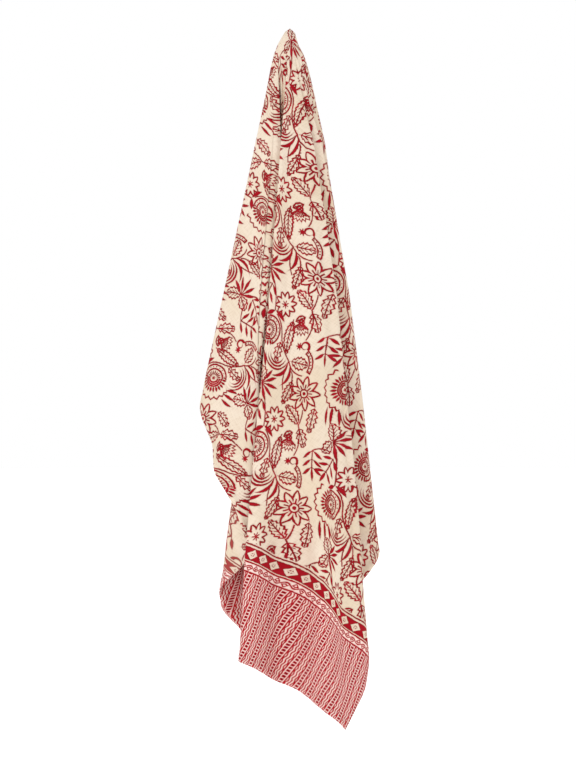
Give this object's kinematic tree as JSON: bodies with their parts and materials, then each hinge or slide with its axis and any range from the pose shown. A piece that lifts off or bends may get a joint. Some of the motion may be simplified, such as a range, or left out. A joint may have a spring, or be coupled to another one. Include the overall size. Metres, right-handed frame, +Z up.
{
  "type": "hanging tablecloth",
  "caption": "Rectangular block-printed cotton tablecloth hung up by one point near its middle, falling in long uneven folds to a slanted bordered hem.",
  "frame": {"origin": "the point by which the cloth is held up, at its top", "axes": "+Z up along the hanging cloth, -Y towards the viewer of its broad front panel, +X to that viewer's right"},
  "size_m": [0.2946, 0.2503, 1.1406],
  "materials": {
    "printed_cotton": "matte"
  },
  "bodies": {
    "root": {"tablecloth": "printed_cotton"}
  },
  "joints": []
}
